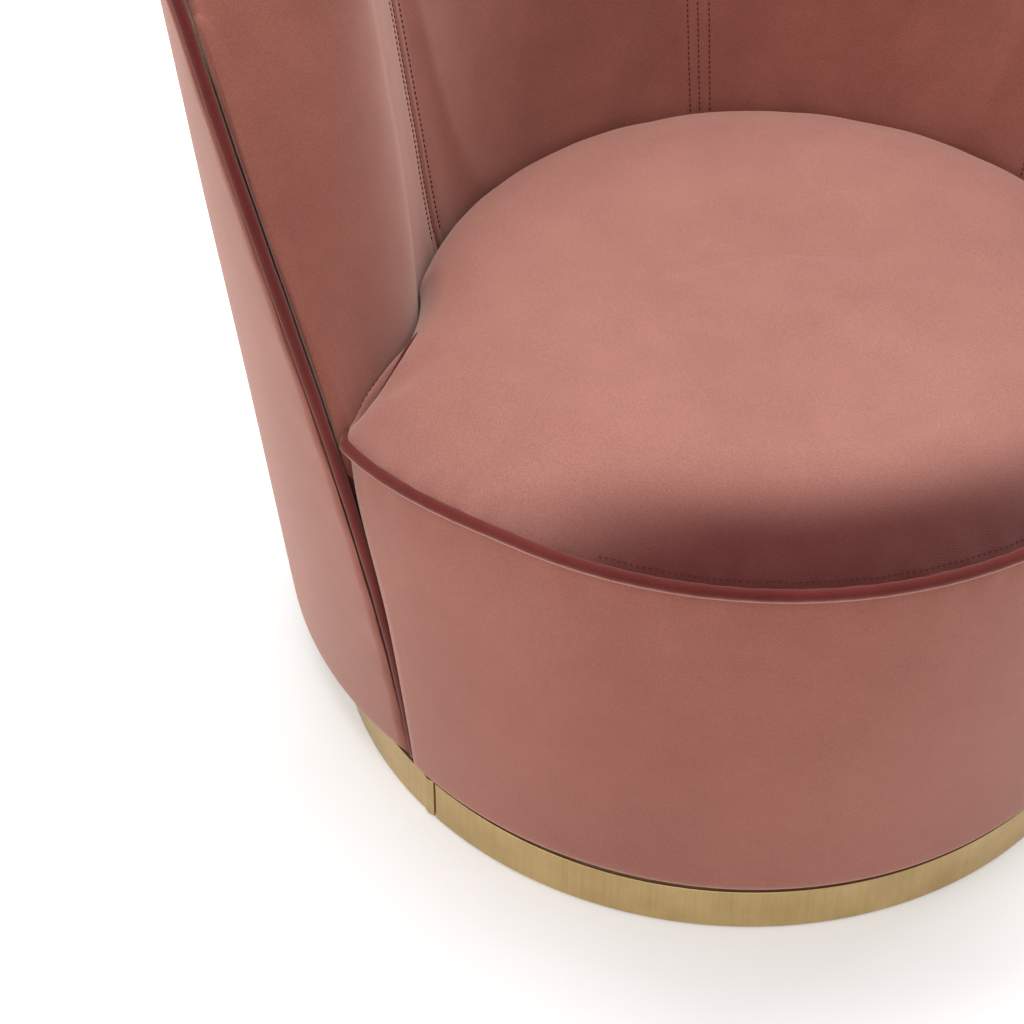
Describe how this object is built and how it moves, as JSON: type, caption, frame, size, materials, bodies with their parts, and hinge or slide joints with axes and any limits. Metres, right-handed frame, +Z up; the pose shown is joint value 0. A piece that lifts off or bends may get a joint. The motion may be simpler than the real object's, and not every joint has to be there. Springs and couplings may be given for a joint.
{
  "type": "swivel glider chair",
  "caption": "Round upholstered tub chair in dusty-rose velvet on a brass-banded plinth, with a hidden swivel bearing and a hanging-link glide mechanism.",
  "frame": {"origin": "on the floor, under the middle of the chair's bounding box", "axes": "+Z up, the chair faces -Y, +X to its sitter's left as the sitter faces -Y"},
  "size_m": [0.9248, 0.9064, 0.8406],
  "materials": {
    "velvet": "short-pile dusty-rose velvet",
    "velvet_welt": "velvet-covered welt cord in its own shade",
    "brass": "brushed",
    "plywood": "raw birch plywood",
    "hardwood": "planed",
    "zinc_plate": "zinc plated",
    "black_steel": "black powder coat",
    "spring_steel": "oiled spring wire",
    "nylon": "moulded",
    "foam": "open-cell foam",
    "lining": "non-woven cambric"
  },
  "bodies": {
    "base": {"glide_1": "nylon", "glide_2": "nylon", "glide_3": "nylon", "glide_4": "nylon", "plinth_ring": "plywood", "plinth_lid": "plywood", "brass_band": "brass", "bearing_lower_plate": "zinc_plate"},
    "turntable": {"ball_ring": "zinc_plate", "bearing_upper_plate": "zinc_plate", "bracket_left": "black_steel", "bracket_right": "black_steel", "cross_bar_front": "black_steel", "cross_bar_rear": "black_steel", "upper_pin_front_left": "zinc_plate", "upper_pin_front_right": "zinc_plate", "upper_pin_rear_left": "zinc_plate", "upper_pin_rear_right": "zinc_plate"},
    "link_front_left_body": {"link_front_left": "black_steel"},
    "link_front_right_body": {"link_front_right": "black_steel"},
    "link_rear_left_body": {"link_rear_left": "black_steel"},
    "link_rear_right_body": {"link_rear_right": "black_steel"},
    "chair": {"lower_pin_front_left": "zinc_plate", "lower_pin_front_right": "zinc_plate", "lower_pin_rear_left": "zinc_plate", "lower_pin_rear_right": "zinc_plate", "carriage_rail_left": "black_steel", "carriage_rail_right": "black_steel", "base_ring_board": "plywood", "dust_cover": "lining", "post_1": "hardwood", "post_2": "hardwood", "post_3": "hardwood", "post_4": "hardwood", "post_5": "hardwood", "post_6": "hardwood", "seat_frame": "plywood", "seat_spring_1": "spring_steel", "seat_spring_2": "spring_steel", "seat_spring_3": "spring_steel", "seat_spring_4": "spring_steel", "shell_board": "plywood", "outer_cover": "velvet", "back_pad": "velvet", "front_board": "plywood", "front_border": "velvet", "seat_foam": "foam", "seat_cushion": "velvet", "seat_welt": "velvet_welt", "shell_welt": "velvet_welt"}
  },
  "joints": [
    {"name": "swivel", "type": "hinge", "parent": "base", "child": "turntable", "pos_m": [0, -0.0845, 0.0516], "axis": [0, 0, 1], "continuous": true},
    {"name": "glide", "type": "hinge", "parent": "turntable", "child": "link_front_left_body", "pos_m": [-0.168, -0.2045, 0.235], "axis": [1, 0, 0], "range_deg": [-20, 20]},
    {"name": "glide_front_right", "type": "hinge", "parent": "turntable", "child": "link_front_right_body", "pos_m": [0.168, -0.2045, 0.235], "axis": [1, 0, 0], "range_deg": [-20, 20]},
    {"name": "glide_rear_left", "type": "hinge", "parent": "turntable", "child": "link_rear_left_body", "pos_m": [-0.168, 0.0355, 0.235], "axis": [1, 0, 0], "range_deg": [-20, 20]},
    {"name": "glide_rear_right", "type": "hinge", "parent": "turntable", "child": "link_rear_right_body", "pos_m": [0.168, 0.0355, 0.235], "axis": [1, 0, 0], "range_deg": [-20, 20]},
    {"name": "chair_level", "type": "hinge", "parent": "link_front_left_body", "child": "chair", "pos_m": [-0.168, -0.2045, 0.095], "axis": [1, 0, 0], "range_deg": [-20, 20]}
  ],
  "couplings": [
    {"joint": "glide_front_right", "follows": "glide", "ratio": 1},
    {"joint": "glide_rear_left", "follows": "glide", "ratio": 1},
    {"joint": "glide_rear_right", "follows": "glide", "ratio": 1},
    {"joint": "chair_level", "follows": "glide", "ratio": -1}
  ]
}
